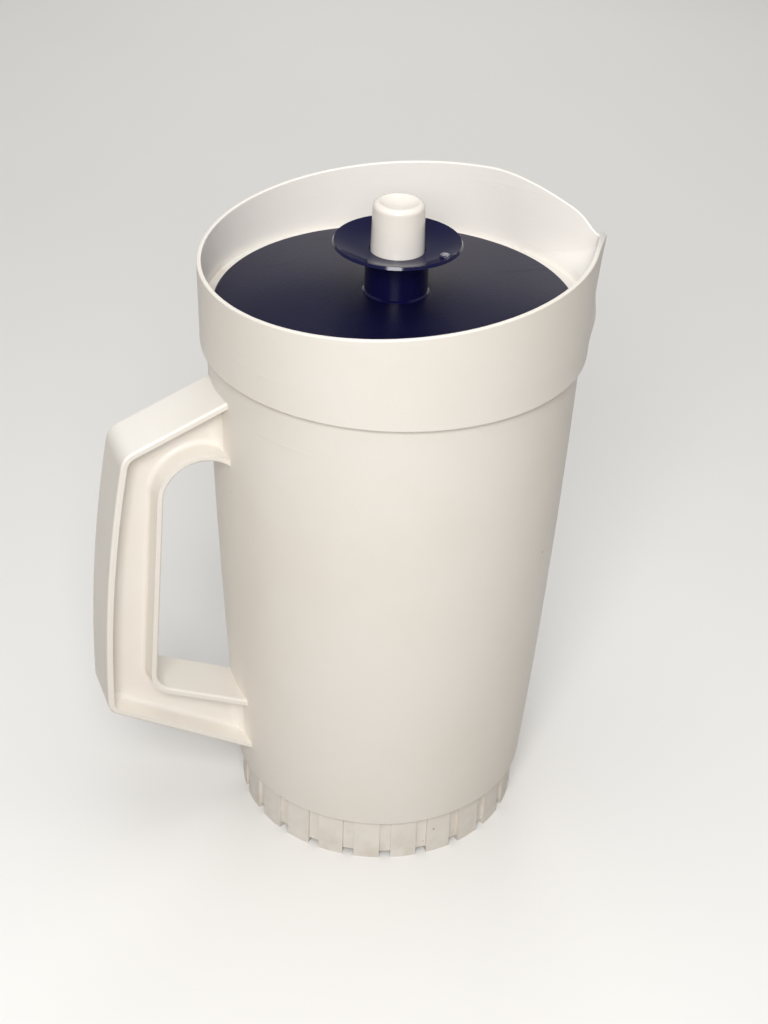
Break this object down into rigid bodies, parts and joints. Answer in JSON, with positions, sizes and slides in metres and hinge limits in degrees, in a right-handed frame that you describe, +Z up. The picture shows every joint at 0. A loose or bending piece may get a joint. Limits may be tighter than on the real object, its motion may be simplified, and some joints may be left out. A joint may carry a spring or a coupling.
{
  "type": "juice jug",
  "caption": "Tapered juice jug with a bow handle, pouring spout, castellated foot and a round lid that carries a finger flange and a push button.",
  "frame": {"origin": "on the jug's vertical axis, at the level of the surface it stands on", "axes": "+Z up along the jug's axis, +X towards the pouring spout, the handle is on -X"},
  "size_m": [0.1911, 0.1366, 0.2475],
  "materials": {
    "cream_plastic": "satin off-white moulded plastic",
    "navy_soft_plastic": "satin dark navy, slightly soft plastic",
    "navy_gloss_plastic": "glossy dark navy moulded plastic",
    "cream_gloss_plastic": "glossy off-white moulded plastic"
  },
  "bodies": {
    "jug": {"jug_body": "cream_plastic"},
    "lid": {"lid_seal": "navy_soft_plastic", "finger_flange": "navy_gloss_plastic", "retaining_ring": "navy_gloss_plastic"},
    "button": {"push_button": "cream_gloss_plastic", "plunger_stem": "cream_gloss_plastic", "spreader_plate": "navy_gloss_plastic"}
  },
  "joints": [
    {"name": "lid_lift", "type": "slide", "parent": "jug", "child": "lid", "axis": [0, 0, 1], "range_m": [0, 0.06]},
    {"name": "button_press", "type": "slide", "parent": "lid", "child": "button", "axis": [0, 0, -1], "range_m": [0, 0.0055], "stiffness_N_per_m": 600, "springref_m": -0.002}
  ]
}
